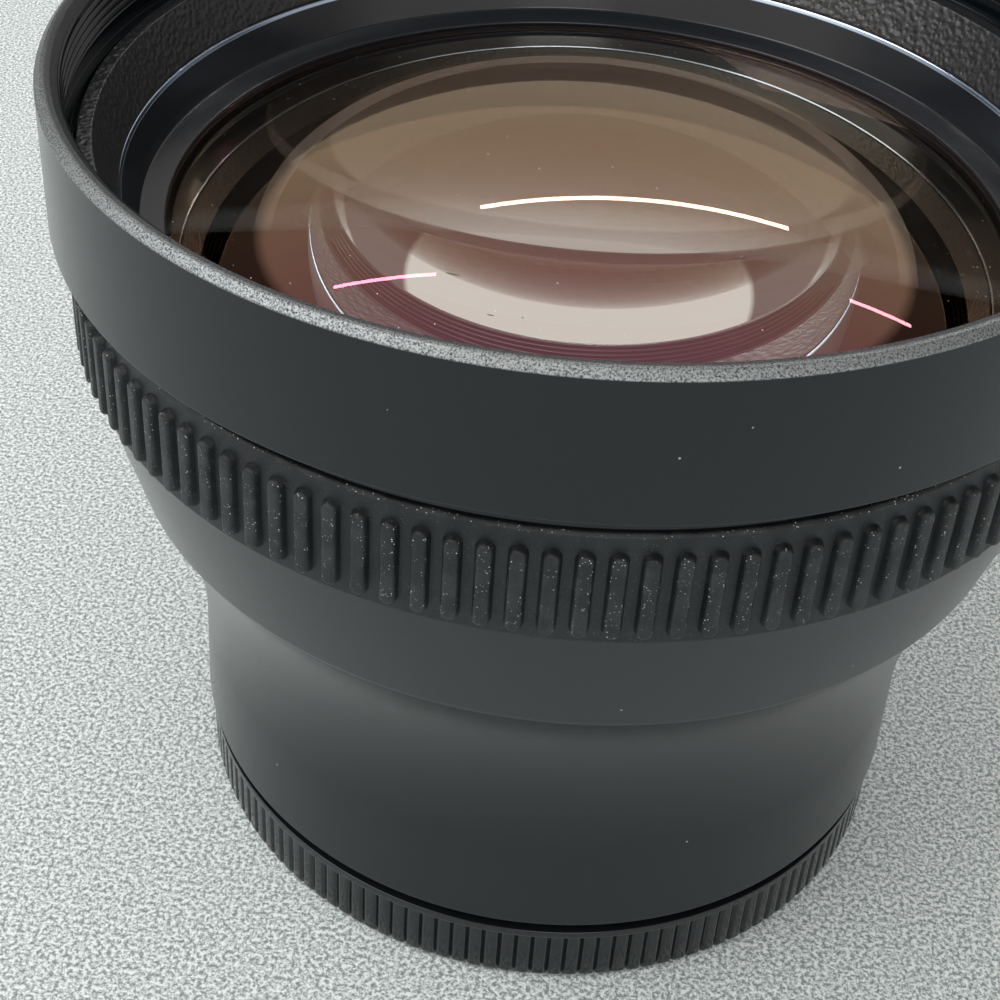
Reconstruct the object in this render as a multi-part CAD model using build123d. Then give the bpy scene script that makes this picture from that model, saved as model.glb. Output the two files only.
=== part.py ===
from build123d import *
from math import copysign, sqrt
import os

# A tele converter lens standing front up on its screwed-on rear cap.
# Millimetres. The optical axis is Z, the origin is the middle of the cap's underside,
# and +Z points out of the front glass.

# Threads that go with other makers' parts
filter_thread_d = 86.0        # inside the front ring
mount_thread_d = 62.0         # at the rear, under the cap

# Clearances
ring_clearance = 0.05         # between two turned rings, on the radius
lens_clearance = 0.05         # between a lens and its bore, on the radius
end_clearance = 0.25          # between two ends that must not touch

# Lengths of the outside, one above the other from the table up
cap_height = 6.7
cap_joint_gap = 1.2           # dark joint between the cap and the barrel
foot_length = 10.1            # straight rear barrel
flare_length = 21.7           # hollow curve up to the crease
shoulder_length = 11.7        # cone from the crease to the grip
grip_length = 9.95
ring_joint_gap = 2.28         # dark joint between the grip and the front ring
front_ring_length = 12.37

# Front ring
front_ring_wall = 2.05        # outside the filter thread
rim_chamfer = 0.55
rim_lead_in = 0.8
thread_length = 3.9
relief_length = 1.85
relief_depth = 0.5            # how far the relief lies outside the thread
ring_step = 0.25              # how far the bore lies inside the thread
ring_foot_chamfer = 0.2
ring_overlap = 1.57           # how far the front ring reaches down over the neck

# Bezel ring inside the front ring
bezel_side_gap = 0.5          # dark ring round the bezel's upper part
bezel_proud = 0.4             # how far the bezel stands above the front ring's step
bezel_thread_length = 2.6
bezel_ledge = 1.25            # flat ring on top of it
bezel_foot_land = 0.2

# Rubber grip
grip_recess = 0.55            # how far its seat lies inside the neck
grip_skin = 1.0
grip_step = 0.15              # how far the grip stands proud of the shoulder
grip_edge_chamfer = 0.25
rib_count = 120
rib_height = 0.65
rib_width = 1.28
rib_length = 7.6
rib_bevel = 0.4
rib_foot_margin = 0.75        # plain band under the ribs
rib_root = 0.3                # how deep each rib is rooted in the skin

# Main barrel
flare_share = 0.645           # of the radius from the waist to the shoulder, gained by the flare
barrel_wall = 1.15            # under the grip
crease_wall = 4.45
waist_wall = 3.0
foot_step = 0.2               # how far the barrel's lower edge stands out
foot_chamfer = 0.25
foot_face = 3.2               # width of the face round the rear thread
bulkhead_thickness = 4.0

# Front lens cell
cell_wall = 1.05              # outside its thread
cell_flange_length = 10.15
cell_thread_length = 5.2
cell_floor = 1.76
cell_body_wall = 1.35
nose_wall = 9.3
nose_lip = 1.4
nose_seat = 3.0               # width of the step that the baffle's flange rests on
nose_lip_width = 1.45
shim_thickness = 0.25

# Front lenses: radii of curvature, with the thickness at the rim or on the axis
crown_inset = 2.65            # how far the front glass's rim lies inside the cell's thread
crown_edge = 1.7
crown_front_curve = 85.0
cement_curve = 190.0
flint_middle = 3.5
flint_back_curve = 420.0
air_gap = 2.45
third_edge = 2.5
third_front_curve = 110.0
third_back_curve = 400.0
spacer_wall = 1.5
blank_allowance = 1.0         # what a lens blank is longer than the lens at each end

# Retaining ring in front of the front glass
retainer_drop = 0.05          # below the barrel's front face
retainer_height = 4.3
retainer_land = 0.65
retainer_cone_inset = 1.4
retainer_lip_width = 2.15
retainer_lip_edge = 0.4
retainer_lip_rise = 0.5
cushion_thickness = 0.35
cushion_width = 1.0

# Baffle between the two lens groups
baffle_flange = 1.6
baffle_wall = 1.0
baffle_clearance = 0.3        # between its cone and the barrel's throat
baffle_steps = 4

# Rear lens cell and its lenses
rear_front_curve = 95.0
rear_cement_curve = 48.0
rear_back_curve = 140.0
rear_front_middle = 2.2
rear_back_edge = 1.2
rear_cell_reach = 9.5         # above the bulkhead's rear face
rear_cell_wall = 4.45
rear_lip_thickness = 0.9
rear_lip_width = 1.2
rear_flange_width = 2.5
rear_flange_gap = 1.5         # round the flange, inside the barrel's rear bore
rear_flange_thickness = 1.5
rear_tail_wall = 1.45
rear_retainer_thickness = 1.6
rear_retainer_width = 2.0

# Rear mount ring
mount_reach = 4.5             # length of its outer thread below the barrel
mount_spigot_length = 3.6
mount_spigot_inset = 1.0
mount_bore_clearance = 1.0    # round the rear cell's tail

# Rear cap
cap_wall = 2.8
cap_floor = 1.4
cap_lip_height = 0.75
cap_lip_step = 0.1
cap_foot_chamfer = 0.4
flute_count = 144
flute_depth = 0.35
flute_width = 0.5

# Grub screws that lock the front cell, hidden under the grip
screw_count = 3
screw_radius = 1.25
screw_length = 2.1
screw_socket_width = 1.3
screw_socket_depth = 1.0
screw_below_grip_top = 4.0
screw_sink = 0.1              # how far it lies under the grip's seat

# Heights that follow from the outside lengths
z_barrel = cap_height + cap_joint_gap
z_flare = z_barrel + foot_length
z_crease = z_flare + flare_length
z_grip = z_crease + shoulder_length
z_grip_top = z_grip + grip_length
z_ring = z_grip_top + ring_joint_gap
z_front = z_ring + front_ring_length
z_neck = z_ring + ring_overlap
z_thread = z_front - rim_lead_in - thread_length
z_step = z_thread - relief_length

# Radii of the rear, from the mount thread inwards
mount_radius = mount_thread_d / 2
foot_radius = mount_radius + foot_face
waist_radius = foot_radius - foot_step
cavity_radius = waist_radius - waist_wall
cap_bore_radius = mount_radius + ring_clearance
cap_radius = cap_bore_radius + cap_wall
spigot_radius = mount_radius - mount_spigot_inset
rear_flange_radius = spigot_radius - rear_flange_gap
rear_cell_radius = rear_flange_radius - rear_flange_width
rear_bore_radius = rear_cell_radius - rear_cell_wall
rear_lens_radius = rear_bore_radius - lens_clearance
rear_tail_radius = rear_bore_radius + rear_tail_wall

# Radii of the front, from the filter thread inwards
filter_radius = filter_thread_d / 2
front_ring_radius = filter_radius + front_ring_wall
ring_bore_radius = filter_radius - ring_step
neck_radius = ring_bore_radius - ring_clearance
grip_seat_radius = neck_radius - grip_recess
grip_radius = grip_seat_radius + grip_skin
shoulder_radius = grip_radius - grip_step
crease_radius = waist_radius + flare_share * (shoulder_radius - waist_radius)
barrel_bore_radius = grip_seat_radius - barrel_wall
cell_radius = barrel_bore_radius - ring_clearance
cell_thread_radius = cell_radius - cell_wall
retainer_radius = cell_thread_radius - ring_clearance
retainer_top_radius = retainer_radius - retainer_land
retainer_foot_radius = retainer_top_radius - retainer_cone_inset
front_opening_radius = retainer_foot_radius - retainer_lip_width
crown_radius = cell_thread_radius - crown_inset
crown_bore_radius = crown_radius + lens_clearance
cell_body_radius = crown_bore_radius + cell_body_wall
nose_radius = crease_radius - crease_wall - ring_clearance
third_bore_radius = nose_radius - nose_wall
third_radius = third_bore_radius - lens_clearance
throat_radius = nose_radius - nose_seat


def sag(curve, radius):
    """How far a spherical surface falls from its middle to a given radius."""
    return copysign(abs(curve) - sqrt(curve ** 2 - radius ** 2), curve)


# Heights of the front glass, from the retaining ring down
z_retainer = z_neck - retainer_drop
z_lip = z_retainer - retainer_height
z_cushion = z_lip - cushion_thickness
z_crown = z_cushion + sag(crown_front_curve, front_opening_radius)
z_crown_rim = z_crown - sag(crown_front_curve, crown_radius)
z_cement = z_crown_rim - crown_edge - sag(cement_curve, crown_radius)
z_flint = z_cement - flint_middle
z_flint_seat = z_flint - sag(flint_back_curve, crown_radius)
z_third = z_flint - air_gap
z_third_seat = z_third - sag(third_front_curve, third_radius) - third_edge
z_third_back = z_third_seat + sag(third_back_curve, third_radius)
z_cell_shoulder = z_neck - cell_flange_length
z_cell_waist = z_flint_seat - cell_floor
z_cell_foot = z_third_seat - nose_lip
z_baffle = z_cell_foot - baffle_flange

# Heights of the rear glass, from the rear mount ring up
z_mount_top = z_barrel + mount_spigot_length
z_bulkhead = z_mount_top + rear_flange_thickness
z_rear_cell = z_bulkhead + rear_cell_reach
z_rear_seat = z_rear_cell - rear_lip_thickness
z_rear_front = z_rear_seat + sag(-rear_front_curve, rear_lens_radius)
z_rear_cement = z_rear_front - rear_front_middle
z_rear_retainer = z_rear_cement - sag(rear_cement_curve, rear_lens_radius) - rear_back_edge
z_rear_back = z_rear_retainer + sag(rear_back_curve, rear_lens_radius)


def turned(corners):
    """A solid turned about the optical axis from (radius, height) corners."""
    outline = Polyline([(r, 0, z) for r, z in corners], close=True)
    return revolve(make_face(outline), Axis.Z)


def ring(inner, outer, bottom, top):
    """A plain ring about the optical axis."""
    return turned([(inner, bottom), (outer, bottom), (outer, top), (inner, top)])


def ball(curve, middle):
    """The sphere of a lens surface, turned so that its seam and poles stay off the glass."""
    return Pos(0, 0, middle - curve) * Rotation(90, 0, 0) * Sphere(abs(curve))


def lens(radius, front_curve, z_face, back_curve, z_back):
    """A lens: a positive curve falls from the middle to the rim, a negative one rises."""
    top = max(z_face, z_face - sag(front_curve, radius)) + blank_allowance
    bottom = min(z_back, z_back - sag(back_curve, radius)) - blank_allowance
    blank = extrude(Plane.XY.offset(bottom) * Circle(radius), top - bottom)
    front = ball(front_curve, z_face)
    back = ball(back_curve, z_back)
    blank = blank & front if front_curve > 0 else blank - front
    return blank & back if back_curve < 0 else blank - back


def turns(count):
    """Evenly spaced turns about the optical axis."""
    return [Rotation(0, 0, 360 * i / count) for i in range(count)]


def front_ring():
    top = filter_radius + rim_lead_in
    return turned([
        (ring_bore_radius, z_ring),
        (front_ring_radius - ring_foot_chamfer, z_ring),
        (front_ring_radius, z_ring + ring_foot_chamfer),
        (front_ring_radius, z_front - rim_chamfer),
        (front_ring_radius - rim_chamfer, z_front),
        (top, z_front),
        (filter_radius, z_front - rim_lead_in),
        (filter_radius, z_thread),
        (filter_radius + relief_depth, z_thread),
        (filter_radius + relief_depth, z_step),
        (ring_bore_radius, z_step),
    ])


def bezel_ring():
    top = z_step + bezel_proud
    upper_radius = ring_bore_radius - bezel_side_gap
    return turned([
        (retainer_top_radius, z_neck),
        (neck_radius, z_neck),
        (neck_radius, z_neck + bezel_thread_length),
        (upper_radius, z_neck + bezel_thread_length),
        (upper_radius, top),
        (upper_radius - bezel_ledge, top),
        (retainer_top_radius, z_neck + bezel_foot_land),
    ])


def rib():
    """One raised rib with bevelled ends, standing radially on the grip."""
    middle = z_grip + rib_foot_margin + rib_length / 2
    root = Plane((grip_radius - rib_root, 0, middle), x_dir=(0, 0, 1), z_dir=(1, 0, 0))
    outline = Rectangle(rib_length, rib_width)
    outline = chamfer(outline.vertices(), rib_bevel)
    return extrude(root * outline, rib_root + rib_height)


def rubber_grip():
    sleeve = turned([
        (grip_seat_radius, z_grip),
        (grip_radius, z_grip),
        (grip_radius, z_grip_top - grip_edge_chamfer),
        (grip_radius - grip_edge_chamfer, z_grip_top),
        (grip_seat_radius, z_grip_top),
    ])
    one = rib()
    return sleeve + [turn * one for turn in turns(rib_count)]


def barrel_outside():
    """Upright edges of the barrel's outside, from its rear edge to the front face."""
    rise = crease_radius - waist_radius
    flare_curve = (rise ** 2 + flare_length ** 2) / (2 * rise)
    half = flare_length / 2
    bulge = flare_curve - sqrt(flare_curve ** 2 - half ** 2)
    foot = Polyline([
        (foot_radius - foot_chamfer, 0, z_barrel),
        (foot_radius, 0, z_barrel + foot_chamfer),
        (waist_radius, 0, z_flare),
    ])
    flare = ThreePointArc(
        foot @ 1,
        (waist_radius + bulge, 0, z_flare + half),
        (crease_radius, 0, z_crease),
    )
    front = Polyline([
        flare @ 1,
        (shoulder_radius, 0, z_grip),
        (grip_seat_radius, 0, z_grip),
        (grip_seat_radius, 0, z_grip_top),
        (neck_radius, 0, z_grip_top),
        (neck_radius, 0, z_neck),
    ])
    return [foot, flare, front]


def main_barrel():
    z_shim = z_cell_shoulder - shim_thickness
    z_waist = z_cell_waist - end_clearance
    body_bore = cell_body_radius + ring_clearance
    nose_bore = nose_radius + ring_clearance
    outside = barrel_outside()
    inside = Polyline([
        outside[-1] @ 1,
        (barrel_bore_radius, 0, z_neck),
        (barrel_bore_radius, 0, z_shim),
        (body_bore, 0, z_shim),
        (body_bore, 0, z_waist),
        (nose_bore, 0, z_waist),
        (nose_bore, 0, z_baffle),
        (throat_radius, 0, z_baffle),
        (cavity_radius, 0, z_flare),
        (cavity_radius, 0, z_bulkhead + bulkhead_thickness),
        (rear_cell_radius + ring_clearance, 0, z_bulkhead + bulkhead_thickness),
        (rear_cell_radius + ring_clearance, 0, z_bulkhead),
        (spigot_radius + ring_clearance, 0, z_bulkhead),
        (spigot_radius + ring_clearance, 0, z_barrel),
        outside[0] @ 0,
    ])
    edges = [edge for line in outside + [inside] for edge in line.edges()]
    body = revolve(make_face(edges), Axis.Z)
    return body - [turn * screw_hole(grip_seat_radius) for turn in turns(screw_count)]


def screw_hole(mouth_radius):
    """Radial hole for a grub screw, from its inner end out to the mouth."""
    start = grip_seat_radius - screw_sink - screw_length
    plane = Plane((start, 0, z_grip_top - screw_below_grip_top), z_dir=(1, 0, 0))
    return extrude(plane * Circle(screw_radius + ring_clearance), mouth_radius + 1 - start)


def set_screws():
    start = grip_seat_radius - screw_sink - screw_length
    z_screw = z_grip_top - screw_below_grip_top
    inner = Plane((start, 0, z_screw), z_dir=(1, 0, 0))
    outer = Plane((start + screw_length, 0, z_screw), z_dir=(1, 0, 0))
    socket = RegularPolygon(screw_socket_width / 2, 6, major_radius=False)
    one = extrude(inner * Circle(screw_radius), screw_length)
    one -= extrude(outer * socket, -screw_socket_depth)
    return Compound([turn * one for turn in turns(screw_count)])


def front_cell():
    body = turned([
        (crown_bore_radius, z_flint_seat),
        (third_bore_radius, z_flint_seat),
        (third_bore_radius, z_third_seat),
        (third_bore_radius - nose_lip_width, z_third_seat),
        (third_bore_radius - nose_lip_width, z_cell_foot),
        (nose_radius, z_cell_foot),
        (nose_radius, z_cell_waist),
        (cell_body_radius, z_cell_waist),
        (cell_body_radius, z_cell_shoulder),
        (cell_radius, z_cell_shoulder),
        (cell_radius, z_neck),
        (cell_thread_radius, z_neck),
        (cell_thread_radius, z_neck - cell_thread_length),
        (crown_bore_radius, z_neck - cell_thread_length),
    ])
    return body - [turn * screw_hole(cell_radius) for turn in turns(screw_count)]


def spacing_shim():
    inner = cell_body_radius + ring_clearance
    return ring(inner, cell_radius, z_cell_shoulder - shim_thickness, z_cell_shoulder)


def front_retaining_ring():
    z_lip_edge = z_lip + retainer_lip_edge
    return turned([
        (front_opening_radius, z_lip),
        (retainer_radius, z_lip),
        (retainer_radius, z_retainer),
        (retainer_top_radius, z_retainer),
        (retainer_foot_radius, z_lip_edge + retainer_lip_rise),
        (front_opening_radius, z_lip_edge),
    ])


def cushion_ring():
    return ring(front_opening_radius, front_opening_radius + cushion_width, z_cushion, z_lip)


def front_lens():
    return lens(crown_radius, crown_front_curve, z_crown, -cement_curve, z_cement)


def second_lens():
    return lens(crown_radius, -cement_curve, z_cement, flint_back_curve, z_flint)


def third_lens():
    return lens(third_radius, third_front_curve, z_third, third_back_curve, z_third_back)


def lens_spacer():
    inner = third_radius - spacer_wall
    bottom = z_third - sag(third_front_curve, inner)
    top = z_flint - sag(flint_back_curve, third_radius)
    return ring(inner, third_radius, bottom, top)


def baffle_tube():
    """Stepped cone that keeps stray light off, open to the front."""
    z_foot = z_rear_cell + end_clearance
    outer_front = throat_radius - baffle_clearance
    outer_rear = rear_bore_radius + baffle_wall
    rise = (z_baffle - z_foot) / baffle_steps
    tread = (outer_front - outer_rear) / baffle_steps
    stairs = []
    for i in range(baffle_steps):
        radius = rear_bore_radius + tread * i
        stairs += [(radius, z_foot + rise * i), (radius, z_foot + rise * (i + 1))]
    throat = rear_bore_radius + tread * baffle_steps
    return turned(stairs + [
        (throat, z_baffle),
        (throat, z_cell_foot),
        (nose_radius, z_cell_foot),
        (nose_radius, z_baffle),
        (outer_front, z_baffle),
        (outer_rear, z_foot),
    ])


def rear_cell():
    lip_radius = rear_lens_radius - rear_lip_width
    z_tail = z_rear_retainer - rear_retainer_thickness
    return turned([
        (rear_bore_radius, z_tail),
        (rear_tail_radius, z_tail),
        (rear_tail_radius, z_mount_top),
        (rear_flange_radius, z_mount_top),
        (rear_flange_radius, z_bulkhead),
        (rear_cell_radius, z_bulkhead),
        (rear_cell_radius, z_rear_cell),
        (lip_radius, z_rear_cell),
        (lip_radius, z_rear_seat),
        (rear_bore_radius, z_rear_seat),
    ])


def fourth_lens():
    return lens(rear_lens_radius, -rear_front_curve, z_rear_front, rear_cement_curve, z_rear_cement)


def fifth_lens():
    return lens(rear_lens_radius, rear_cement_curve, z_rear_cement, rear_back_curve, z_rear_back)


def rear_retaining_ring():
    inner = rear_lens_radius - rear_retainer_width
    bottom = z_rear_retainer - rear_retainer_thickness
    return ring(inner, rear_lens_radius, bottom, z_rear_retainer)


def rear_mount_ring():
    bore = rear_tail_radius + mount_bore_clearance
    return turned([
        (bore, z_barrel - mount_reach),
        (mount_radius, z_barrel - mount_reach),
        (mount_radius, z_barrel),
        (spigot_radius, z_barrel),
        (spigot_radius, z_mount_top),
        (bore, z_mount_top),
    ])


def rear_cap():
    lip_radius = cap_radius + cap_lip_step
    z_lip_foot = cap_height - cap_lip_height
    body = turned([
        (0, 0),
        (cap_radius - cap_foot_chamfer, 0),
        (cap_radius, cap_foot_chamfer),
        (cap_radius, z_lip_foot),
        (lip_radius, z_lip_foot),
        (lip_radius, cap_height),
        (cap_bore_radius, cap_height),
        (cap_bore_radius, cap_floor),
        (0, cap_floor),
    ])
    groove = Polyline([
        (cap_radius - flute_depth, 0),
        (cap_radius + flute_depth, flute_width),
        (cap_radius + flute_depth, -flute_width),
    ], close=True)
    flute = extrude(make_face(groove), z_lip_foot)
    return body - [turn * flute for turn in turns(flute_count)]


NODES = [
    rear_cap,
    rear_mount_ring,
    rear_retaining_ring,
    fifth_lens,
    fourth_lens,
    rear_cell,
    baffle_tube,
    main_barrel,
    spacing_shim,
    front_cell,
    set_screws,
    third_lens,
    lens_spacer,
    second_lens,
    front_lens,
    cushion_ring,
    front_retaining_ring,
    bezel_ring,
    rubber_grip,
    front_ring,
]

os.makedirs("parts", exist_ok=True)
for make in NODES:
    export_step(make(), f"parts/{make.__name__}.step")
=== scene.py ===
from math import ceil, cos, floor, pi, radians, sin, sqrt
import bpy
from mathutils import Matrix, Vector


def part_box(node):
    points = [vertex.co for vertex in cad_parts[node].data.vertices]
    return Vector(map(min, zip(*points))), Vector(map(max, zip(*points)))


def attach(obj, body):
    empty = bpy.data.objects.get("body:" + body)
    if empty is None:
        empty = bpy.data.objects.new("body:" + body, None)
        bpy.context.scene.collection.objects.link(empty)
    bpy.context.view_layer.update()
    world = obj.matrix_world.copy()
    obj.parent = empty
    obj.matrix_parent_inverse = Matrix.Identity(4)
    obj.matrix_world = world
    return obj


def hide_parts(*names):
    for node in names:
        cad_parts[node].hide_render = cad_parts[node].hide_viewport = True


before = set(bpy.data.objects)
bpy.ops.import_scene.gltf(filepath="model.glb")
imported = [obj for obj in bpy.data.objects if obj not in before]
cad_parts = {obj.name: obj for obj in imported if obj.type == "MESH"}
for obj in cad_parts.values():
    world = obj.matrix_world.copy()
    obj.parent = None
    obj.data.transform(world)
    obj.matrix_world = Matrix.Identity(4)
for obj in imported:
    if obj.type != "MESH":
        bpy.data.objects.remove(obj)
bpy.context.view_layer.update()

# Sizes are in millimetres, in the row frame: Z is the optical axis, the cap stands on Z 0.
MM = 0.001


def reach(node):
    """Outer radius, bottom and top of a CAD node."""
    low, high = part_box(node)
    return high[0] / MM, low[2] / MM, high[2] / MM


RING_RADIUS, RING_FOOT, RING_TOP = reach("front_ring")
GRIP_RADIUS, GRIP_FOOT, GRIP_TOP = reach("rubber_grip")
CAP_RADIUS, _, CAP_TOP = reach("rear_cap")
_, BARREL_FOOT, NECK_TOP = reach("main_barrel")
RETAINER_RADIUS, RETAINER_FOOT, RETAINER_TOP = reach("front_retaining_ring")

# Steps round the axis
FINE_STEPS = 384


# Meshes
def finish_mesh(name, points, faces, material, smooth_angle=30):
    """A mesh object from points in millimetres, smooth but for edges over an angle."""
    mesh = bpy.data.meshes.new(name)
    mesh.from_pydata([(x * MM, y * MM, z * MM) for x, y, z in points], [], faces)
    mesh.validate()
    mesh.shade_smooth()
    mesh.set_sharp_from_angle(angle=radians(smooth_angle))
    mesh.materials.append(material)
    piece = bpy.data.objects.new(name, mesh)
    bpy.context.scene.collection.objects.link(piece)
    return piece


def eased(corners, ease=0.1, steps=3):
    """A closed outline with every corner rounded, and a short flat beside each rounding."""
    outline = []
    count = len(corners)
    for i, corner in enumerate(corners):
        here = Vector(corner)
        back = Vector(corners[i - 1]) - here
        ahead = Vector(corners[(i + 1) % count]) - here
        cut = min(ease, 0.3 * back.length, 0.3 * ahead.length)
        start = here + back.normalized() * cut
        end = here + ahead.normalized() * cut
        outline.append(start + back.normalized() * cut * 0.3)
        for k in range(steps + 1):
            t = k / steps
            outline.append(start * (1 - t) ** 2 + here * 2 * t * (1 - t) + end * t ** 2)
        outline.append(end + ahead.normalized() * cut * 0.3)
    return outline


def circle(radius, height, steps):
    """Points round the axis."""
    turns = [2 * pi * i / steps for i in range(steps)]
    return [(radius * cos(a), radius * sin(a), height) for a in turns]


def bands(rows, steps):
    """Faces between circles of points, with the last circle joined to the first."""
    faces = []
    for j in range(rows):
        k = (j + 1) % rows
        for i in range(steps):
            n = (i + 1) % steps
            faces.append((j * steps + i, k * steps + i, k * steps + n, j * steps + n))
    return faces


def lathe(name, outline, material):
    """A closed outline of (radius, height) turned about the axis."""
    points = []
    for r, z in outline:
        points += circle(r, z, FINE_STEPS)
    return finish_mesh(name, points, bands(len(outline), FINE_STEPS), material)


def disc_lathe(name, outline, material, smooth_angle):
    """An open outline from axis to axis turned into a solid: its first and last points lie on the axis."""
    steps = FINE_STEPS
    top, *middle, bottom = outline
    points = [(0, 0, top[1])]
    for r, z in middle:
        points += circle(r, z, steps)
    points.append((0, 0, bottom[1]))
    last = len(points) - 1
    faces = []
    for i in range(steps):
        n = (i + 1) % steps
        faces.append((0, 1 + i, 1 + n))
        for j in range(len(middle) - 1):
            a = 1 + j * steps
            faces.append((a + i, a + steps + i, a + steps + n, a + n))
        a = 1 + (len(middle) - 1) * steps
        faces.append((a + i, last, a + n))
    return finish_mesh(name, points, faces, material, smooth_angle)


def sag(curve, radius):
    """How far a spherical surface of a signed radius falls from its middle to a given radius."""
    fall = abs(curve) - sqrt(curve ** 2 - radius ** 2)
    return fall if curve > 0 else -fall


def surface(curve, middle, radius, rings=40):
    """Outline of a spherical surface, from the axis to the rim."""
    return [(radius * k / rings, middle - sag(curve, radius * k / rings)) for k in range(rings + 1)]


def lens_piece(name, radius, front_curve, z_face, back_curve, z_back, material, back_material, bevel=0.15):
    """A lens with a narrow ground bevel on both edges and its own coating on either side."""
    front = surface(front_curve, z_face, radius - bevel)
    back = surface(back_curve, z_back, radius - bevel)
    z_front_rim = front[-1][1] - bevel * 0.7
    z_back_rim = back[-1][1] + bevel * 0.7
    outline = front + [(radius, z_front_rim), (radius, z_back_rim)] + back[::-1]
    piece = disc_lathe(name, outline, material, smooth_angle=20)
    piece.data.materials.append(back_material)
    for face in piece.data.polygons:
        face.material_index = 0 if face.normal.z > 0.3 else 1
    return piece


# Materials
class Shader:
    """A node material under construction."""

    def __init__(self, name):
        self.material = bpy.data.materials.new(name)
        self.material.use_nodes = True
        self.nodes = self.material.node_tree.nodes
        self.links = self.material.node_tree.links
        self.bsdf = self.nodes["Principled BSDF"]
        self.output = self.nodes["Material Output"]
        self.place = self.nodes.new("ShaderNodeTexCoord").outputs["Object"]

    def join(self, source, target):
        self.links.new(source, target)

    def set(self, **values):
        """Plain values on the shader's own sockets."""
        for key, value in values.items():
            self.bsdf.inputs[key.replace("_", " ")].default_value = value

    def math(self, operation, first, second=None):
        """A sum on numbers or outputs."""
        node = self.nodes.new("ShaderNodeMath")
        node.operation = operation
        for slot, value in zip(node.inputs, (first, second)):
            if value is None:
                continue
            if isinstance(value, (int, float)):
                slot.default_value = value
            else:
                self.links.new(value, slot)
        return node.outputs[0]

    def noise(self, size, detail=3, roughness=0.5, stretch=None):
        """Noise whose grains are about a size in millimetres."""
        node = self.nodes.new("ShaderNodeTexNoise")
        node.inputs["Scale"].default_value = 1 / (size * MM)
        node.inputs["Detail"].default_value = detail
        node.inputs["Roughness"].default_value = roughness
        self.links.new(self.stretched(stretch), node.inputs["Vector"])
        return node.outputs["Fac"]

    def cells(self, size, feature="F1"):
        """Distance to the nearest of scattered points about a size apart, in cell sizes."""
        node = self.nodes.new("ShaderNodeTexVoronoi")
        node.feature = feature
        node.inputs["Scale"].default_value = 1 / (size * MM)
        self.links.new(self.place, node.inputs["Vector"])
        return node.outputs["Distance"]

    def stretched(self, stretch):
        """Place on the object, with each axis scaled where asked."""
        if not stretch:
            return self.place
        node = self.nodes.new("ShaderNodeMapping")
        node.inputs["Scale"].default_value = stretch
        self.links.new(self.place, node.inputs["Vector"])
        return node.outputs["Vector"]

    def above(self, value, low, high):
        """0 below low, 1 above high, smooth between."""
        node = self.nodes.new("ShaderNodeMapRange")
        node.interpolation_type = "SMOOTHSTEP"
        node.inputs["From Min"].default_value = low
        node.inputs["From Max"].default_value = high
        self.links.new(value, node.inputs["Value"])
        return node.outputs["Result"]

    def blend(self, share, first, second):
        """A colour between two, each a triple or an output."""
        node = self.nodes.new("ShaderNodeMix")
        node.data_type = "RGBA"
        for slot, value in ((node.inputs[6], first), (node.inputs[7], second)):
            if isinstance(value, tuple):
                slot.default_value = (*value, 1)
            else:
                self.links.new(value, slot)
        self.links.new(share, node.inputs[0])
        return node.outputs[2]

    def between(self, share, low, high):
        """A number between two."""
        node = self.nodes.new("ShaderNodeMapRange")
        node.inputs["To Min"].default_value = low
        node.inputs["To Max"].default_value = high
        self.links.new(share, node.inputs["Value"])
        return node.outputs["Result"]

    def bump(self, height, depth):
        """Bump of a depth in millimetres from a height between 0 and 1."""
        node = self.nodes.new("ShaderNodeBump")
        node.inputs["Strength"].default_value = 1
        node.inputs["Distance"].default_value = depth * MM
        self.links.new(height, node.inputs["Height"])
        self.links.new(node.outputs["Normal"], self.bsdf.inputs["Normal"])

    def along(self, axis):
        """Place along one axis of the object."""
        split = self.nodes.new("ShaderNodeSeparateXYZ")
        self.links.new(self.place, split.inputs["Vector"])
        return split.outputs[axis]

    def height_mm(self):
        """Height along the optical axis in millimetres."""
        return self.math("MULTIPLY", self.along("Z"), 1 / MM)

    def front_mm(self):
        """Distance from the optical axis towards the front side, -Y, in millimetres."""
        return self.math("MULTIPLY", self.along("Y"), -1 / MM)

    def radius_mm(self):
        """Distance from the optical axis in millimetres."""
        squares = [self.math("POWER", self.math("ABSOLUTE", self.along(axis)), 2) for axis in "XY"]
        return self.math("MULTIPLY", self.math("SQRT", self.math("ADD", *squares)), 1 / MM)

    def color(self, value):
        """Base colour from an output."""
        self.join(value, self.bsdf.inputs["Base Color"])

    def rough(self, value):
        """Roughness from an output."""
        self.join(value, self.bsdf.inputs["Roughness"])


# Colours and levels that several finishes share
SATIN_BLACK = (0.0026, 0.0044, 0.0054)
SATIN_LEVEL = 0.46
DUST_GREY = (0.35, 0.36, 0.36)


def lighter(color, factor):
    """A colour times a factor."""
    return tuple(factor * c for c in color)


def satin_black():
    """Black anodised aluminium with a very fine grain and a few specks of dust."""
    s = Shader("barrel_satin_black")
    dust = s.above(s.cells(4.2), 0.028, 0.0168)
    tone = s.blend(s.noise(9, detail=2), SATIN_BLACK, lighter(SATIN_BLACK, 1.35))
    s.color(s.blend(dust, tone, DUST_GREY))
    s.rough(s.between(s.noise(0.35, detail=2), 0.16, 0.24))
    s.set(Specular_IOR_Level=SATIN_LEVEL)
    s.bump(s.noise(0.09, detail=2), 0.003)
    return s.material


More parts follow.
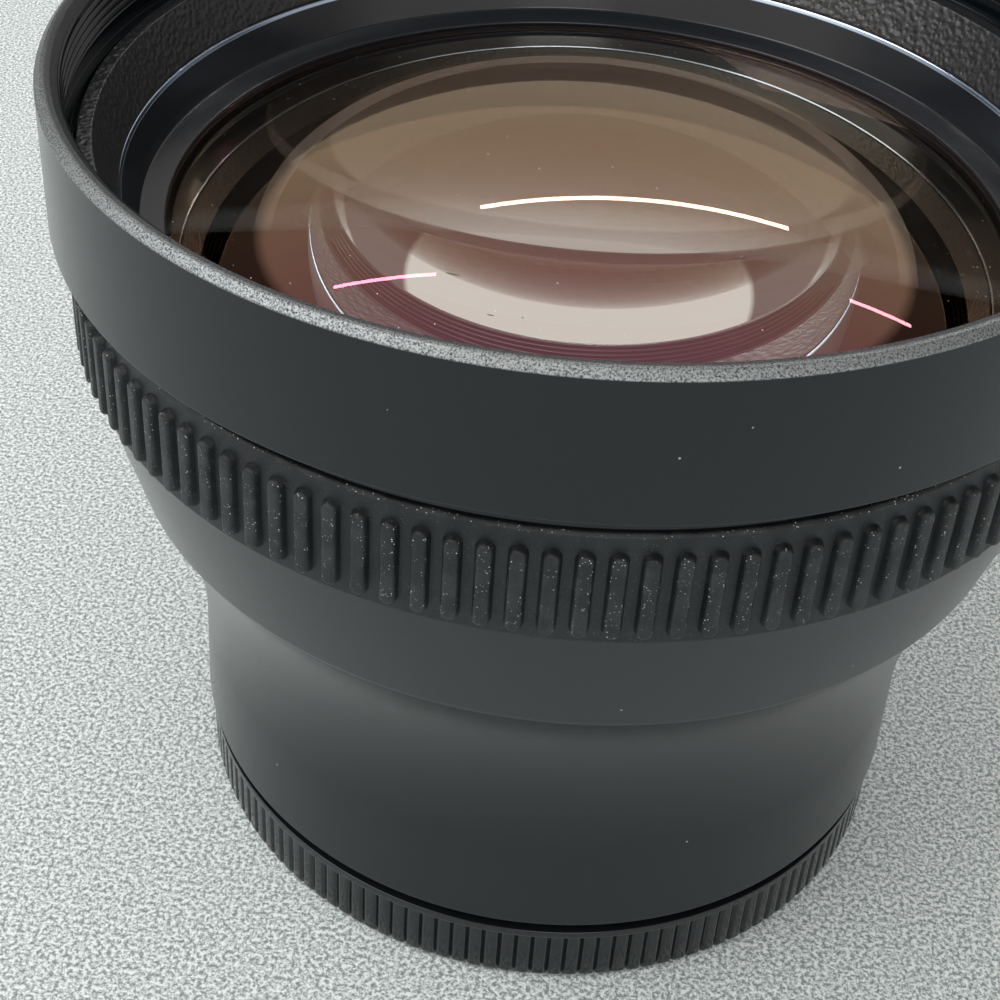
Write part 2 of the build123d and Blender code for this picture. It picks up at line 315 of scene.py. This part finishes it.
def worn_and_highlit_ring_black():
    """Satin black, rubbed to dull bare metal with a fine grain on the rim's edge; the bare metal grows
    towards the front side as a painted highlight.
    """
    s = Shader("front_ring_worn_and_highlit_black")
    rim = s.above(s.height_mm(), RING_TOP - 0.66, RING_TOP - 0.56)
    outer = s.above(s.radius_mm(), RIM_INNER_RADIUS + 0.25, RIM_INNER_RADIUS + 0.6)
    rubbed = s.above(s.noise(0.14, detail=4, roughness=0.6), 0.30, 0.62)
    # Painted highlight: the rim's bare metal fades up from 0.15 to full towards the front side (-Y), over the
    # wear.
    facing = s.between(s.above(s.front_mm(), 0, 30), 0.15, 1.0)
    share = s.math("MULTIPLY", s.between(outer, 0.12, 1.0), facing)
    bare = s.math("MULTIPLY", s.math("MULTIPLY", rim, rubbed), share)
    dust = s.above(s.cells(4.0), 0.028, 0.016)
    tone = s.blend(s.noise(9, detail=2), SATIN_BLACK, lighter(SATIN_BLACK, 1.3))
    dusty = s.blend(dust, tone, DUST_GREY)
    s.color(s.blend(bare, dusty, (0.36, 0.385, 0.385)))
    s.join(s.math("MULTIPLY", bare, 0.9), s.bsdf.inputs["Metallic"])
    s.rough(s.between(bare, 0.2, 0.36))
    s.set(Specular_IOR_Level=SATIN_LEVEL)
    grain = s.math("MULTIPLY", s.noise(0.15, detail=4, roughness=0.65), s.between(rim, 0.05, 1.0))
    s.bump(grain, 0.045)
    return s.material


def dusty_rubber():
    """Rubber with sparse white dust that sits on the edges of the ribs and a haze of finer dust."""
    s = Shader("grip_dusty_rubber")
    edge = s.nodes.new("ShaderNodeAttribute")
    edge.attribute_name = "edge"
    grains = s.above(s.cells(0.27), 0.24, 0.12)
    film = s.above(s.noise(2.2, detail=3), 0.42, 0.62)
    held = s.above(edge.outputs["Fac"], 0.15, 0.9)
    many = s.above(s.noise(0.8, detail=3), 0.44, 0.6)
    dust = s.math("MULTIPLY", grains, s.math("MULTIPLY", many, s.between(held, 0.10, 1.0)))
    hazy = s.math("MULTIPLY", film, s.between(held, 0.03, 0.11))
    haze = s.math("MULTIPLY", hazy, s.noise(0.2, detail=3))
    tone = s.blend(haze, (0.0060, 0.0085, 0.0095), (0.32, 0.35, 0.35))
    s.color(s.blend(dust, tone, (0.6, 0.62, 0.61)))
    s.set(Roughness=0.42, Specular_IOR_Level=0.45)
    s.bump(s.noise(0.16, detail=4, roughness=0.65), 0.045)
    return s.material


def crackle_black():
    """Coarse black paint with a leather-like grain."""
    s = Shader("bezel_crackle_black")
    grain = s.cells(0.5, "SMOOTH_F1")
    fine = s.noise(0.25, detail=3)
    height = s.math("ADD", s.math("MULTIPLY", grain, 0.8), s.math("MULTIPLY", fine, 0.2))
    s.color(s.blend(fine, (0.008, 0.009, 0.010), (0.02, 0.022, 0.023)))
    s.set(Roughness=0.33, Specular_IOR_Level=0.8)
    s.bump(height, 0.15)
    return s.material


def retainer_black():
    """The retaining ring: black anodised, turned smooth, glossy, with a painted highlight: a thin band of
    bright bluish metal round its top edge.
    """
    s = Shader("retainer_smooth_black")
    turned = s.noise(0.3, detail=2, stretch=(0.05, 0.05, 4))
    black = s.blend(turned, (0.007, 0.009, 0.011), (0.012, 0.014, 0.017))
    # Painted highlight: a thin band at the top edge is made bright bluish metal.
    edge = s.above(s.height_mm(), RETAINER_TOP - 0.42, RETAINER_TOP - 0.3)
    s.color(s.blend(edge, black, (0.66, 0.80, 1.0)))
    s.join(edge, s.bsdf.inputs["Metallic"])
    s.rough(s.between(turned, 0.13, 0.19))
    return s.material


def gloss_plastic():
    """Moulded glossy black plastic with faint handling marks."""
    s = Shader("cap_gloss_black")
    marks = s.noise(1.6, detail=4)
    s.color(s.blend(marks, (0.0055, 0.0075, 0.0082), (0.010, 0.012, 0.013)))
    s.rough(s.between(marks, 0.11, 0.18))
    s.bump(s.noise(0.3, detail=2), 0.004)
    return s.material


def inner_black():
    """Blackened metal and rubber inside the barrel."""
    s = Shader("inner_black")
    s.color(s.blend(s.noise(0.6), (0.004, 0.004, 0.0045), (0.009, 0.009, 0.0095)))
    s.set(Roughness=0.4)
    return s.material


def spacer_grey():
    """Dull grey metal of the ring that is seen through the front glass."""
    s = Shader("spacer_dull_grey")
    s.color(s.blend(s.noise(0.5), (0.5, 0.47, 0.44), (0.62, 0.59, 0.56)))
    s.set(Roughness=0.45)
    return s.material


def brass():
    """Bare rolled brass of the shim."""
    s = Shader("shim_rolled_brass")
    s.color(s.blend(s.noise(0.8), (0.6, 0.42, 0.17), (0.7, 0.52, 0.25)))
    s.set(Metallic=1.0, Roughness=0.3)
    return s.material


GLASS_INDEX = 1.52


def coated_glass(name, film, film_index, tint=(1, 1, 1), dust=False):
    """Clear optical glass with an interference coating, and specks of dust where asked."""
    s = Shader(name)
    s.set(Transmission_Weight=1.0, Roughness=0.0, IOR=GLASS_INDEX,
          Thin_Film_Thickness=film, Thin_Film_IOR=film_index)
    s.bsdf.inputs["Base Color"].default_value = (*tint, 1)
    if dust:
        speck = s.above(s.cells(1.5), 0.045, 0.03)
        white = s.nodes.new("ShaderNodeBsdfDiffuse")
        s.join(s.blend(s.noise(0.5), (0.5, 0.5, 0.5), (0.8, 0.8, 0.8)), white.inputs["Color"])
        mix = s.nodes.new("ShaderNodeMixShader")
        s.join(speck, mix.inputs[0])
        s.join(s.bsdf.outputs[0], mix.inputs[1])
        s.join(white.outputs[0], mix.inputs[2])
        s.join(mix.outputs[0], s.output.inputs["Surface"])
    return s.material


# Front ring
THREAD_PITCH = 0.78
THREAD_DEPTH = 0.36
THREAD_LENGTH = 3.9
ROWS_PER_TURN = 9
LEAD_IN = 0.8
RIM_CHAMFER = 0.55
FILTER_RADIUS = 43.0
RELIEF_RADIUS = 43.5
RELIEF_LENGTH = 1.85
RING_BORE = 42.75
RIM_INNER_RADIUS = FILTER_RADIUS + LEAD_IN
Z_THREAD = RING_TOP - LEAD_IN - THREAD_LENGTH
Z_STEP = Z_THREAD - RELIEF_LENGTH


def thread_radius(z, angle):
    """Radius of the filter thread's ridged wall, fading out at both ends."""
    turn = z / THREAD_PITCH + angle / (2 * pi)
    ridge = 1 - abs(2 * (turn - floor(turn)) - 1)
    end = min(z - Z_THREAD, Z_THREAD + THREAD_LENGTH - z)
    fade = max(0.0, min(1.0, end / (0.3 * THREAD_PITCH)))
    return FILTER_RADIUS + THREAD_DEPTH * (1 - min(1.0, 1.35 * ridge)) * fade


def thread_rows():
    """Rows of the ridged wall from its top down."""
    count = ceil(THREAD_LENGTH / (THREAD_PITCH / ROWS_PER_TURN))
    heights = [Z_THREAD + THREAD_LENGTH * (1 - (k + 0.5) / count) for k in range(count)]
    return [(FILTER_RADIUS, z, True) for z in heights]


def front_ring_rows():
    """Rows of (radius, height, whether the thread is cut there) round the ring's section."""
    corners = [
        (RING_BORE, RING_FOOT),
        (RING_RADIUS - 0.2, RING_FOOT),
        (RING_RADIUS, RING_FOOT + 0.2),
        (RING_RADIUS, RING_TOP - RIM_CHAMFER),
        (RING_RADIUS - RIM_CHAMFER, RING_TOP),
        (RIM_INNER_RADIUS, RING_TOP),
        (FILTER_RADIUS, RING_TOP - LEAD_IN),
        (FILTER_RADIUS, Z_THREAD),
        (RELIEF_RADIUS, Z_THREAD),
        (RELIEF_RADIUS, Z_STEP),
        (RING_BORE, Z_STEP),
    ]
    plain = [(r, z, False) for r, z in eased(corners, ease=0.09)]
    above = [i for i in range(1, len(plain)) if plain[i - 1][1] > Z_THREAD > plain[i][1] - 0.5]
    split = above[0]
    return plain[:split] + thread_rows() + plain[split:]


def front_ring_piece(material):
    """The front ring with its helical filter thread."""
    rows = front_ring_rows()
    points = []
    for r, z, ridged in rows:
        for i in range(FINE_STEPS):
            a = 2 * pi * i / FINE_STEPS
            here = thread_radius(z, a) if ridged else r
            points.append((here * cos(a), here * sin(a), z))
    return finish_mesh("front_ring_dressed", points, bands(len(rows), FINE_STEPS), material)


# Rubber grip
RIB_COUNT = 120
RIB_LENGTH = 7.6
RIB_WIDTH = 1.28
RIB_FOOT_MARGIN = 0.75
GRIP_SKIN_RADIUS = 43.15
GRIP_SEAT = 42.15


def rib_loops():
    """The rib's outline from its foot to its top: (inset, radius, how much dust it holds)."""
    top = GRIP_RADIUS
    return [
        (-0.10, GRIP_SKIN_RADIUS - 0.06, 0.0),
        (-0.03, GRIP_SKIN_RADIUS + 0.10, 0.1),
        (0.04, GRIP_SKIN_RADIUS + 0.34, 0.3),
        (0.10, top - 0.14, 0.8),
        (0.20, top - 0.03, 1.0),
        (0.34, top, 0.5),
    ]


def rib_outline(inset, ends=10):
    """Pill outline round the rib's middle: (sideways, along the axis)."""
    radius = RIB_WIDTH / 2 - inset
    straight = RIB_LENGTH / 2 - RIB_WIDTH / 2
    outline = []
    for side in (1, -1):
        for k in range(ends + 1):
            a = pi * k / ends
            outline.append((side * radius * cos(a), side * (straight + radius * sin(a))))
    return outline


def rib_mesh(turn, start):
    """Points, dust shares and faces of one rib, whose first point has the number start."""
    middle = GRIP_FOOT + RIB_FOOT_MARGIN + RIB_LENGTH / 2
    points = []
    dust = []
    loops = rib_loops()
    for inset, radius, held in loops:
        outline = rib_outline(inset)
        for side, along in outline:
            a = turn + side / radius
            points.append((radius * cos(a), radius * sin(a), middle + along))
            dust.append(held)
    around = len(outline)
    faces = []
    for j in range(len(loops) - 1):
        a = start + j * around
        for i in range(around):
            n = (i + 1) % around
            faces.append((a + i, a + n, a + around + n, a + around + i))
    top = start + (len(loops) - 1) * around
    faces.append(tuple(top + i for i in range(around)))
    return points, dust, faces


def grip_piece(material):
    """Rubber sleeve with its raised ribs, and an attribute that says where dust is held."""
    sleeve = eased([
        (GRIP_SEAT, GRIP_FOOT),
        (GRIP_SKIN_RADIUS, GRIP_FOOT),
        (GRIP_SKIN_RADIUS, GRIP_TOP - 0.25),
        (GRIP_SKIN_RADIUS - 0.25, GRIP_TOP),
        (GRIP_SEAT, GRIP_TOP),
    ], ease=0.15)
    steps = RIB_COUNT * 3
    points = []
    faces = bands(len(sleeve), steps)
    edge = []
    for r, z in sleeve:
        points += circle(r, z, steps)
        on_lip = z > GRIP_TOP - 0.3 and r > GRIP_SKIN_RADIUS - 0.35
        edge += [1.0 if on_lip else 0.0] * steps
    for rib in range(RIB_COUNT):
        rib_points, rib_dust, rib_faces = rib_mesh(2 * pi * rib / RIB_COUNT, len(points))
        points += rib_points
        edge += rib_dust
        faces += rib_faces
    piece = finish_mesh("rubber_grip_dressed", points, faces, material, smooth_angle=50)
    layer = piece.data.attributes.new("edge", "FLOAT", "POINT")
    layer.data.foreach_set("value", edge)
    return piece


# Rear cap
FLUTE_COUNT = 144
FLUTE_DEPTH = 0.35
STEPS_PER_FLUTE = 10
CAP_LIP = 0.75
CAP_WALL_RADIUS = 33.85
CAP_BORE = 31.05
CAP_FLOOR = 1.4


def flute_cut(phase):
    """How deep the flute is at a phase from 0 to 1 across one rib: wide rounded ribs, narrow grooves."""
    across = abs(2 * phase - 1)
    crown = 0.12 * across ** 2
    groove = max(0.0, (across - 0.72) / 0.28)
    return crown + (1 - crown) * groove ** 0.8 if groove else crown


def cap_rows():
    """Rows of (radius, height, share of the flutes' depth) from the foot over the lip to the floor inside."""
    lip_foot = CAP_TOP - CAP_LIP
    lip = [(CAP_RADIUS, lip_foot), (CAP_RADIUS, CAP_TOP), (CAP_BORE, CAP_TOP), (CAP_BORE, CAP_FLOOR)]
    wall = [
        (CAP_WALL_RADIUS - 1.2, 0.0, 0.0),
        (CAP_WALL_RADIUS - 0.62, 0.0, 0.25),
        (CAP_WALL_RADIUS - 0.46, 0.06, 0.6),
        (CAP_WALL_RADIUS - 0.22, 0.26, 1.0),
        (CAP_WALL_RADIUS - 0.06, 0.52, 1.0),
        (CAP_WALL_RADIUS, 0.85, 1.0),
        (CAP_WALL_RADIUS, 3.0, 1.0),
        (CAP_WALL_RADIUS, lip_foot - 0.12, 1.0),
        (CAP_WALL_RADIUS, lip_foot, 0.9),
    ]
    return wall + [(r, z, 0.0) for r, z in eased(lip, ease=0.12)]


def cap_piece(material):
    """The rear cap with its fluted wall under a thin plain lip."""
    rows = cap_rows()
    steps = FLUTE_COUNT * STEPS_PER_FLUTE
    points = []
    for r, z, depth in rows:
        for i in range(steps):
            a = 2 * pi * i / steps
            here = r - FLUTE_DEPTH * depth * flute_cut((i % STEPS_PER_FLUTE) / STEPS_PER_FLUTE)
            points.append((here * cos(a), here * sin(a), z))
    faces = []
    for j in range(len(rows) - 1):
        for i in range(steps):
            n = (i + 1) % steps
            faces.append((j * steps + i, j * steps + n, (j + 1) * steps + n, (j + 1) * steps + i))
    top_row = (len(rows) - 1) * steps
    points.append((0, 0, 0))
    points.append((0, 0, CAP_FLOOR))
    for i in range(steps):
        n = (i + 1) % steps
        faces.append((len(points) - 2, n, i))
        faces.append((top_row + i, top_row + n, len(points) - 1))
    return finish_mesh("rear_cap_dressed", points, faces, material, smooth_angle=40)


# Main barrel
WAIST_RADIUS = 34.0
FOOT_RADIUS = 34.2
CREASE_RADIUS = 39.8
SHOULDER_RADIUS = 43.0
Z_FLARE = 18.0
FLARE_STEPS = 36
Z_CREASE = 39.7
NECK_RADIUS = 42.7
BARREL_BORE = 41.0
CELL_BORE = 38.7
Z_CELL_BORE = (54.8, 46.0)
CAVITY_RADIUS = 31.0
Z_CAVITY = (40.0, 17.0)
THROAT_RADIUS = 26.05
Z_MOUNT_BORE = 13.0
MOUNT_BORE = 30.05


def flare_outline():
    """The hollow flare: a round arc that leaves the waist straight up and ends at the crease."""
    rise = CREASE_RADIUS - WAIST_RADIUS
    run = Z_CREASE - Z_FLARE
    curve = (rise ** 2 + run ** 2) / (2 * rise)
    outline = []
    for k in range(1, FLARE_STEPS):
        z = run * k / FLARE_STEPS
        outline.append((WAIST_RADIUS + curve - sqrt(curve ** 2 - z ** 2), Z_FLARE + z))
    return outline


def barrel_piece(material):
    """The turned barrel with its hollow flare."""
    foot = eased([
        (MOUNT_BORE, BARREL_FOOT),
        (FOOT_RADIUS - 0.25, BARREL_FOOT),
        (FOOT_RADIUS, BARREL_FOOT + 0.25),
        (WAIST_RADIUS, Z_FLARE),
    ], ease=0.1)[:-6]
    front = eased([
        (CREASE_RADIUS, Z_CREASE),
        (SHOULDER_RADIUS, GRIP_FOOT),
        (GRIP_SEAT, GRIP_FOOT),
        (GRIP_SEAT, GRIP_TOP),
        (NECK_RADIUS, GRIP_TOP),
        (NECK_RADIUS, NECK_TOP),
        (BARREL_BORE, NECK_TOP),
        (BARREL_BORE, Z_CELL_BORE[0]),
        (CELL_BORE, Z_CELL_BORE[0]),
        (CELL_BORE, Z_CELL_BORE[1]),
        (CAVITY_RADIUS, Z_CAVITY[0]),
        (CAVITY_RADIUS, Z_CAVITY[1]),
        (THROAT_RADIUS, Z_CAVITY[1]),
        (THROAT_RADIUS, Z_MOUNT_BORE),
        (MOUNT_BORE, Z_MOUNT_BORE),
    ], ease=0.12)
    outline = foot + [(WAIST_RADIUS, Z_FLARE)] + flare_outline() + front[1:]
    return lathe("main_barrel_dressed", outline, material)


# Bezel and retaining ring
BEZEL_TOP = Z_STEP + 0.4
BEZEL_RADIUS = 42.25
BEZEL_FOOT = reach("bezel_ring")[1]
BEZEL_FLANGE = 2.6
RETAINER_TOP_RADIUS = 39.2
GLASS_OPENING = 35.65


def bezel_piece(material):
    """The bezel's steep cone on its flange."""
    return lathe("bezel_ring_dressed", eased([
        (RETAINER_TOP_RADIUS, BEZEL_FOOT),
        (NECK_RADIUS, BEZEL_FOOT),
        (NECK_RADIUS, BEZEL_FOOT + BEZEL_FLANGE),
        (BEZEL_RADIUS, BEZEL_FOOT + BEZEL_FLANGE),
        (BEZEL_RADIUS, BEZEL_TOP),
        (BEZEL_RADIUS - 1.25, BEZEL_TOP),
        (RETAINER_TOP_RADIUS, BEZEL_FOOT + 0.2),
    ], ease=0.1), material)


def retainer_piece(material):
    """The retaining ring with its two sloped faces down to the glass."""
    return lathe("front_retaining_ring_dressed", eased([
        (GLASS_OPENING, RETAINER_FOOT),
        (RETAINER_RADIUS, RETAINER_FOOT),
        (RETAINER_RADIUS, RETAINER_TOP),
        (RETAINER_TOP_RADIUS, RETAINER_TOP),
        (RETAINER_TOP_RADIUS - 1.4, RETAINER_FOOT + 0.9),
        (GLASS_OPENING, RETAINER_FOOT + 0.4),
    ], ease=0.12), material)


# Lenses, as in the CAD model: radius, curves and the heights of both faces on the axis
CROWN_RADIUS, CROWN_FOOT, CROWN_TOP = reach("front_lens")
THIRD_RADIUS, THIRD_FOOT, THIRD_TOP = reach("third_lens")
REAR_RADIUS, REAR_FOOT, _ = reach("fifth_lens")
CROWN_CURVE = 85.0
CEMENT_CURVE = 190.0
CEMENT_GAP = 0.02
FLINT_THICKNESS = 3.5
FLINT_CURVE = 420.0
THIRD_FRONT_CURVE = 110.0
THIRD_BACK_CURVE = 400.0
REAR_FRONT_CURVE = 95.0
REAR_BACK_CURVE = 140.0


def front_lens_piece(coating, back_coating):
    """The domed front lens."""
    return lens_piece("front_lens_dressed", CROWN_RADIUS, CROWN_CURVE, CROWN_TOP, -CEMENT_CURVE,
                      CROWN_FOOT + CEMENT_GAP, coating, back_coating)


def second_lens_piece(coating, back_coating):
    """The lens behind the front one, a hair's breadth away."""
    return lens_piece("second_lens_dressed", CROWN_RADIUS, -CEMENT_CURVE, CROWN_FOOT, FLINT_CURVE,
                      CROWN_FOOT - FLINT_THICKNESS, coating, back_coating)


def third_lens_piece(coating, back_coating):
    """The meniscus behind the spacer."""
    z_back = THIRD_FOOT + sag(THIRD_BACK_CURVE, THIRD_RADIUS)
    return lens_piece("third_lens_dressed", THIRD_RADIUS, THIRD_FRONT_CURVE, THIRD_TOP, THIRD_BACK_CURVE,
                      z_back, coating, back_coating)


def rear_pair_piece(coating):
    """The cemented rear pair as one body: the cemented face mirrors next to nothing."""
    rim_top = reach("fourth_lens")[2]
    z_front = rim_top - sag(REAR_FRONT_CURVE, REAR_RADIUS)
    z_back = REAR_FOOT + sag(REAR_BACK_CURVE, REAR_RADIUS)
    return lens_piece("rear_pair_dressed", REAR_RADIUS, -REAR_FRONT_CURVE, z_front, REAR_BACK_CURVE,
                      z_back, coating, coating)


# Camera, from the fit to the ring edges in the photograph
CAMERA_PLACE = (0.0, -134.683, 140.268)
CAMERA_PITCH = 36.67
CAMERA_PAN = 6.28
CAMERA_ROLL = 1.60
FOCAL_LENGTH = 65.1
SHIFT = (0.0924, -0.1081)
SENSOR_WIDTH = 36


def add_camera():
    """A camera where the photograph was taken from."""
    data = bpy.data.cameras.new("camera")
    data.sensor_width = SENSOR_WIDTH
    data.lens = FOCAL_LENGTH
    data.shift_x, data.shift_y = SHIFT
    data.clip_start = 0.01
    camera = bpy.data.objects.new("camera", data)
    turn = Matrix.Rotation(radians(CAMERA_PAN), 4, "Z")
    tilt = Matrix.Rotation(radians(90 - CAMERA_PITCH), 4, "X")
    roll = Matrix.Rotation(radians(CAMERA_ROLL), 4, "Z")
    camera.matrix_world = Matrix.Translation(Vector(CAMERA_PLACE) * MM) @ turn @ tilt @ roll
    bpy.context.scene.collection.objects.link(camera)
    bpy.context.scene.camera = camera


def floor_material():
    """Pale stone-like table with fine grey speckle."""
    s = Shader("floor_pale")
    speckle = s.noise(0.42, detail=5, roughness=0.78)
    s.color(s.blend(s.above(speckle, 0.41, 0.58), (0.23, 0.275, 0.265), (0.92, 0.955, 0.94)))
    s.set(Roughness=0.6)
    s.bump(speckle, 0.12)
    return s.material


FLOOR_HALF = 2.5


def add_floor():
    """A square of pale table, in metres."""
    mesh = bpy.data.meshes.new("floor")
    half = FLOOR_HALF
    corners = [(-half, -half, 0), (half, -half, 0), (half, half, 0), (-half, half, 0)]
    mesh.from_pydata(corners, [], [(0, 1, 2, 3)])
    mesh.materials.append(floor_material())
    floor_piece = bpy.data.objects.new("floor", mesh)
    bpy.context.scene.collection.objects.link(floor_piece)


# Lamps, with their distance, sizes and aim in metres
LAMP_DISTANCE = 0.8
LAMP_AIM = Vector((0, 0, 0.06))
PINK = (1.0, 0.5, 0.85)


def toward(azimuth, elevation):
    """Unit vector to a direction. Azimuth runs from +Y towards +X, in degrees."""
    a, e = radians(azimuth), radians(elevation)
    return Vector((sin(a) * cos(e), cos(a) * cos(e), sin(e)))


def area_light(name, azimuth, elevation, size, power):
    """A square lamp that faces the object."""
    data = bpy.data.lights.new(name, "AREA")
    data.size = size
    data.energy = power
    lamp = bpy.data.objects.new(name, data)
    aim = toward(azimuth, elevation)
    lamp.matrix_world = (Matrix.Translation(LAMP_AIM + aim * LAMP_DISTANCE)
                         @ aim.to_track_quat("Z", "Y").to_matrix().to_4x4())
    bpy.context.scene.collection.objects.link(lamp)


def tube_light(name, start, end, width, power, tint=(1, 1, 1)):
    """A straight tube lamp between two directions, mirrored by the front surface only."""
    first, last = (toward(*way) * LAMP_DISTANCE for way in (start, end))
    along = (last - first).normalized()
    aim = ((first + last) / 2).normalized()
    across = aim.cross(along).normalized()
    aim = along.cross(across)
    data = bpy.data.lights.new(name, "AREA")
    data.shape = "RECTANGLE"
    data.size, data.size_y = (last - first).length, width
    data.energy = power
    data.color = tint
    lamp = bpy.data.objects.new(name, data)
    turn = Matrix((along, across, aim)).transposed().to_4x4()
    lamp.matrix_world = Matrix.Translation(LAMP_AIM + (first + last) / 2) @ turn
    lamp.visible_transmission = False
    bpy.context.scene.collection.objects.link(lamp)


# Levels and places of what reflections see
SOFTBOX_ELEVATION = 46
SOFTBOX_RADIUS = 32
SOFTBOX_BRIGHT = 60
SOFTBOX_TOP_LEVEL = 0.5
BACK_SPAN = (-0.25, -0.5)
BACK_LEVEL = 0.9
SOFTBOX_EDGE = 0.006
ROOM_LEVEL = 0.10
SOFTBOX_LEVEL = 0.62
SOFTBOX_TINT = (1.0, 0.95, 0.92)
WALL_ELEVATION = 22
WALL_LEVEL = 0.42
DIFFUSE_LEVEL = 0.7


def add_world():
    """White behind the object. Reflections see a dim room with one large round softbox beyond the object."""
    world = bpy.data.worlds.new("studio")
    bpy.context.scene.world = world
    world.use_nodes = True
    nodes, links = world.node_tree.nodes, world.node_tree.links
    nodes.clear()

    def node(kind, *sources, **values):
        made = nodes.new(kind)
        for key, value in values.items():
            setattr(made, key, value)
        for slot, source in zip(made.inputs, sources):
            if isinstance(source, bpy.types.NodeSocket):
                links.new(source, slot)
            else:
                slot.default_value = source
        return made.outputs[0]

    path = nodes.new("ShaderNodeLightPath")
    way = nodes.new("ShaderNodeTexCoord").outputs["Generated"]
    split = nodes.new("ShaderNodeSeparateXYZ")
    links.new(way, split.inputs[0])
    lift = radians(SOFTBOX_ELEVATION)
    y_share = node("ShaderNodeMath", split.outputs["Y"], cos(lift), operation="MULTIPLY")
    z_share = node("ShaderNodeMath", split.outputs["Z"], sin(lift), operation="MULTIPLY")
    facing = node("ShaderNodeMath", y_share, z_share, operation="ADD")
    edge = cos(radians(SOFTBOX_RADIUS))
    inside = node("ShaderNodeMapRange", facing, edge - SOFTBOX_EDGE, edge + SOFTBOX_EDGE)
    glow = node("ShaderNodeMapRange", split.outputs["Z"], sin(radians(SOFTBOX_BRIGHT)), 1.0,
                SOFTBOX_LEVEL, SOFTBOX_TOP_LEVEL)
    upper = node("ShaderNodeMapRange", inside, 0.0, 1.0, ROOM_LEVEL, glow)
    sill = sin(radians(WALL_ELEVATION))
    above = node("ShaderNodeMapRange", split.outputs["Z"], sill - SOFTBOX_EDGE, sill + SOFTBOX_EDGE)
    far = node("ShaderNodeMapRange", above, 0.0, 1.0, WALL_LEVEL, upper)
    behind = node("ShaderNodeMapRange", split.outputs["Y"], *BACK_SPAN)
    level = node("ShaderNodeMapRange", behind, 0.0, 1.0, far, BACK_LEVEL)
    seen = node("ShaderNodeBackground", (*SOFTBOX_TINT, 1), level)
    light = node("ShaderNodeBackground", (1, 1, 1, 1), DIFFUSE_LEVEL)
    white = node("ShaderNodeBackground", (1, 1, 1, 1), 1.0)
    mirrored = node("ShaderNodeMath", path.outputs["Is Glossy Ray"], path.outputs["Is Transmission Ray"],
                    operation="MAXIMUM")
    lit = node("ShaderNodeMixShader", mirrored, light, seen)
    shown = node("ShaderNodeMixShader", path.outputs["Is Camera Ray"], lit, white)
    output = nodes.new("ShaderNodeOutputWorld")
    links.new(shown, output.inputs["Surface"])


def dress(piece, slot, *nodes):
    """The piece rides on the part and stands for these CAD nodes, which are hidden; slot is not used."""
    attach(piece, "root")
    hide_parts(*nodes)


def paint(node, material):
    """A CAD node that is shown as it is gets its material."""
    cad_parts[node].data.materials.clear()
    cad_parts[node].data.materials.append(material)


dress(front_ring_piece(worn_and_highlit_ring_black()), "front_ring_metal", "front_ring")
dress(grip_piece(dusty_rubber()), "grip_rubber", "rubber_grip")
dress(cap_piece(gloss_plastic()), "cap_plastic", "rear_cap")
dress(barrel_piece(satin_black()), "barrel_metal", "main_barrel")
dress(bezel_piece(crackle_black()), "bezel_black", "bezel_ring")
dress(retainer_piece(retainer_black()), "retainer_metal", "front_retaining_ring")
front_coat = coated_glass("front_coated_glass", film=280, film_index=1.88, dust=True)
inner_coat = coated_glass("inner_coated_glass", film=140, film_index=1.75)
clear_coat = coated_glass("clear_coated_glass", film=110, film_index=1.3)
flint_coat = coated_glass("flint_coated_glass", film=140, film_index=1.75, tint=(1.0, 0.77, 0.62))
dress(front_lens_piece(front_coat, clear_coat), "front_glass", "front_lens")
dress(second_lens_piece(clear_coat, flint_coat), "inner_glass", "second_lens")
dress(third_lens_piece(inner_coat, clear_coat), "inner_glass", "third_lens")
dress(rear_pair_piece(clear_coat), "inner_glass", "fourth_lens", "fifth_lens")

black = inner_black()
for node in ("rear_mount_ring", "rear_retaining_ring", "rear_cell", "baffle_tube", "front_cell",
             "cushion_ring", "set_screws"):
    paint(node, black)
paint("lens_spacer", spacer_grey())
paint("spacing_shim", brass())

add_camera()
add_floor()
add_world()
area_light("key", azimuth=-105, elevation=50, size=0.7, power=4.5)
area_light("window", azimuth=168, elevation=35, size=0.3, power=0.8)
tube_light("tube", start=(-15.5, 46), end=(26, 38), width=0.01, power=0.22)
tube_light("tube_left", start=(-44, 49), end=(-29, 56), width=0.008, power=0.045, tint=PINK)
tube_light("tube_right", start=(40, 42), end=(46, 37), width=0.008, power=0.025, tint=PINK)
bpy.context.scene.view_settings.view_transform = "Standard"
